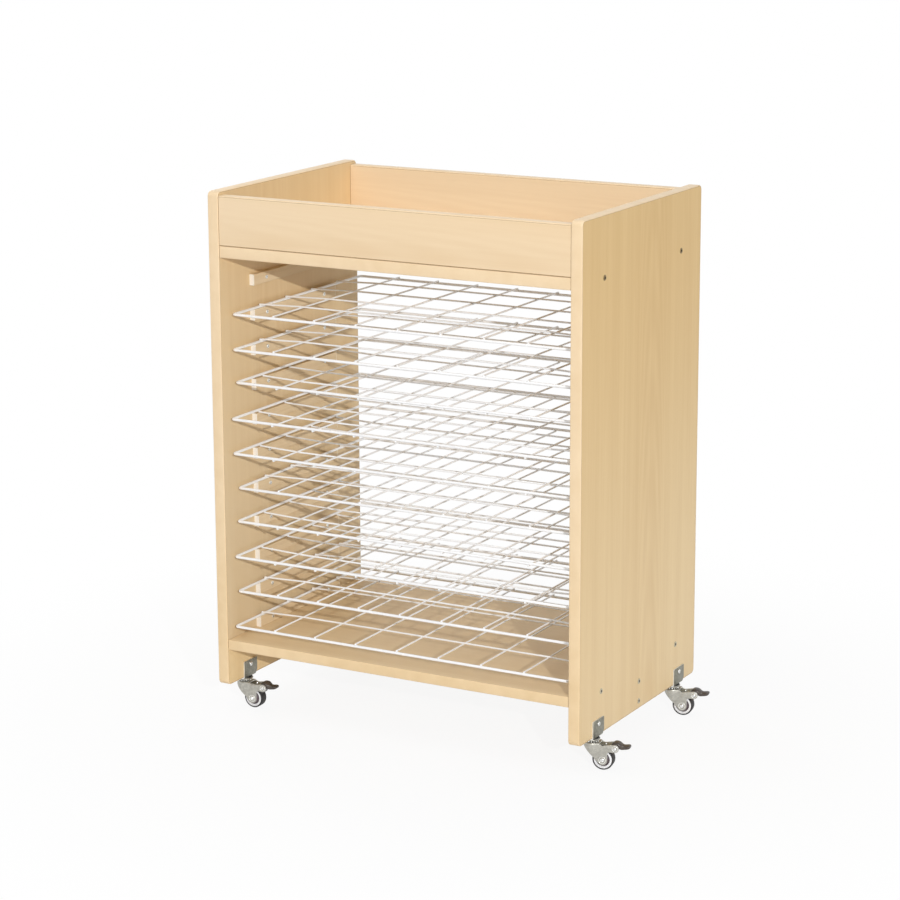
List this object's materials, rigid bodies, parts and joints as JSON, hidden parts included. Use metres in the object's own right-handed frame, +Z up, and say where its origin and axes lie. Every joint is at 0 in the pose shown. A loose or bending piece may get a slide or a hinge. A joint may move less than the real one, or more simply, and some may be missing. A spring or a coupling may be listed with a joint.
{
  "type": "art drying rack",
  "caption": "Open wooden cabinet on swivelling braked casters, with a shallow tray on top and a stack of sliding wire racks for drying artwork on paper.",
  "frame": {"origin": "on the floor, under the middle of the bounding box with the casters and racks at rest", "axes": "+X to the user's right, +Y from the open front to the back, +Z up"},
  "size_m": [0.6732, 0.406, 0.815],
  "materials": {
    "birch_laminate": "satin",
    "runner_wood": "satin",
    "rack_wire": "gloss",
    "zinc_steel": "zinc plated",
    "bright_steel": "polished",
    "hub_nylon": "matte",
    "tyre_rubber": "matte",
    "pedal_plastic": "satin"
  },
  "bodies": {
    "cabinet": {"side_panel_left": "birch_laminate", "side_panel_right": "birch_laminate", "tray_front_board": "birch_laminate", "tray_back_board": "birch_laminate", "tray_floor": "birch_laminate", "bottom_shelf": "birch_laminate", "bottom_stretcher": "birch_laminate", "cabinet_screws": "bright_steel", "runner_screws": "bright_steel", "bracket_screws": "bright_steel", "runner_pair_00": "runner_wood", "runner_pair_01": "runner_wood", "runner_pair_02": "runner_wood", "runner_pair_03": "runner_wood", "runner_pair_04": "runner_wood", "runner_pair_05": "runner_wood", "runner_pair_06": "runner_wood", "runner_pair_07": "runner_wood", "runner_pair_08": "runner_wood", "runner_pair_09": "runner_wood", "runner_pair_10": "runner_wood", "caster_bracket_front_left": "zinc_steel", "kingpin_front_left": "bright_steel", "caster_bracket_front_right": "zinc_steel", "kingpin_front_right": "bright_steel", "caster_bracket_rear_left": "zinc_steel", "kingpin_rear_left": "bright_steel", "caster_bracket_rear_right": "zinc_steel", "kingpin_rear_right": "bright_steel"},
    "rack_01": {"wire_rack_01": "rack_wire"},
    "rack_02": {"wire_rack_02": "rack_wire"},
    "rack_03": {"wire_rack_03": "rack_wire"},
    "rack_04": {"wire_rack_04": "rack_wire"},
    "rack_05": {"wire_rack_05": "rack_wire"},
    "rack_06": {"wire_rack_06": "rack_wire"},
    "rack_07": {"wire_rack_07": "rack_wire"},
    "rack_08": {"wire_rack_08": "rack_wire"},
    "rack_09": {"wire_rack_09": "rack_wire"},
    "rack_10": {"wire_rack_10": "rack_wire"},
    "fork_front_left": {"fork_front_left": "zinc_steel", "fork_pins_front_left": "bright_steel"},
    "wheel_front_left": {"wheel_hub_front_left": "hub_nylon", "tyre_front_left": "tyre_rubber"},
    "pedal_front_left": {"brake_pedal_front_left": "pedal_plastic"},
    "fork_front_right": {"fork_front_right": "zinc_steel", "fork_pins_front_right": "bright_steel"},
    "wheel_front_right": {"wheel_hub_front_right": "hub_nylon", "tyre_front_right": "tyre_rubber"},
    "pedal_front_right": {"brake_pedal_front_right": "pedal_plastic"},
    "fork_rear_left": {"fork_rear_left": "zinc_steel", "fork_pins_rear_left": "bright_steel"},
    "wheel_rear_left": {"wheel_hub_rear_left": "hub_nylon", "tyre_rear_left": "tyre_rubber"},
    "pedal_rear_left": {"brake_pedal_rear_left": "pedal_plastic"},
    "fork_rear_right": {"fork_rear_right": "zinc_steel", "fork_pins_rear_right": "bright_steel"},
    "wheel_rear_right": {"wheel_hub_rear_right": "hub_nylon", "tyre_rear_right": "tyre_rubber"},
    "pedal_rear_right": {"brake_pedal_rear_right": "pedal_plastic"}
  },
  "joints": [
    {"name": "rack_01_slide", "type": "slide", "parent": "cabinet", "child": "rack_01", "axis": [0, -1, 0], "range_m": [0, 0.28]},
    {"name": "rack_02_slide", "type": "slide", "parent": "cabinet", "child": "rack_02", "axis": [0, -1, 0], "range_m": [0, 0.28]},
    {"name": "rack_03_slide", "type": "slide", "parent": "cabinet", "child": "rack_03", "axis": [0, -1, 0], "range_m": [0, 0.28]},
    {"name": "rack_04_slide", "type": "slide", "parent": "cabinet", "child": "rack_04", "axis": [0, -1, 0], "range_m": [0, 0.28]},
    {"name": "rack_05_slide", "type": "slide", "parent": "cabinet", "child": "rack_05", "axis": [0, -1, 0], "range_m": [0, 0.28]},
    {"name": "rack_06_slide", "type": "slide", "parent": "cabinet", "child": "rack_06", "axis": [0, -1, 0], "range_m": [0, 0.28]},
    {"name": "rack_07_slide", "type": "slide", "parent": "cabinet", "child": "rack_07", "axis": [0, -1, 0], "range_m": [0, 0.28]},
    {"name": "rack_08_slide", "type": "slide", "parent": "cabinet", "child": "rack_08", "axis": [0, -1, 0], "range_m": [0, 0.28]},
    {"name": "rack_09_slide", "type": "slide", "parent": "cabinet", "child": "rack_09", "axis": [0, -1, 0], "range_m": [0, 0.28]},
    {"name": "rack_10_slide", "type": "slide", "parent": "cabinet", "child": "rack_10", "axis": [0, -1, 0], "range_m": [0, 0.28]},
    {"name": "swivel_front_left", "type": "hinge", "parent": "cabinet", "child": "fork_front_left", "pos_m": [-0.32384, -0.143, 0.0412], "axis": [0, 0, 1], "continuous": true},
    {"name": "wheel_spin_front_left", "type": "hinge", "parent": "fork_front_left", "child": "wheel_front_left", "pos_m": [-0.30544, -0.14268, 0.016], "axis": [-0.0175, 0.9998, 0], "continuous": true},
    {"name": "brake_front_left", "type": "hinge", "parent": "fork_front_left", "child": "pedal_front_left", "pos_m": [-0.28642, -0.14235, 0.03502], "axis": [-0.0175, 0.9998, 0], "range_deg": [0, 20]},
    {"name": "swivel_front_right", "type": "hinge", "parent": "cabinet", "child": "fork_front_right", "pos_m": [0.27816, -0.143, 0.0412], "axis": [0, 0, 1], "continuous": true},
    {"name": "wheel_spin_front_right", "type": "hinge", "parent": "fork_front_right", "child": "wheel_front_right", "pos_m": [0.29623, -0.13949, 0.016], "axis": [-0.1908, 0.9816, 0], "continuous": true},
    {"name": "brake_front_right", "type": "hinge", "parent": "fork_front_right", "child": "pedal_front_right", "pos_m": [0.3149, -0.13586, 0.03502], "axis": [-0.1908, 0.9816, 0], "range_deg": [0, 20]},
    {"name": "swivel_rear_left", "type": "hinge", "parent": "cabinet", "child": "fork_rear_left", "pos_m": [-0.32384, 0.137, 0.0412], "axis": [0, 0, 1], "continuous": true},
    {"name": "wheel_spin_rear_left", "type": "hinge", "parent": "fork_rear_left", "child": "wheel_rear_left", "pos_m": [-0.30557, 0.13924, 0.016], "axis": [-0.1219, 0.9925, 0], "continuous": true},
    {"name": "brake_rear_left", "type": "hinge", "parent": "fork_rear_left", "child": "pedal_rear_left", "pos_m": [-0.28669, 0.14156, 0.03502], "axis": [-0.1219, 0.9925, 0], "range_deg": [0, 20]},
    {"name": "swivel_rear_right", "type": "hinge", "parent": "cabinet", "child": "fork_rear_right", "pos_m": [0.27816, 0.137, 0.0412], "axis": [0, 0, 1], "continuous": true},
    {"name": "wheel_spin_rear_right", "type": "hinge", "parent": "fork_rear_right", "child": "wheel_rear_right", "pos_m": [0.29631, 0.14004, 0.016], "axis": [-0.165, 0.9863, 0], "continuous": true},
    {"name": "brake_rear_right", "type": "hinge", "parent": "fork_rear_right", "child": "pedal_rear_right", "pos_m": [0.31507, 0.14318, 0.03502], "axis": [-0.165, 0.9863, 0], "range_deg": [0, 20]}
  ]
}
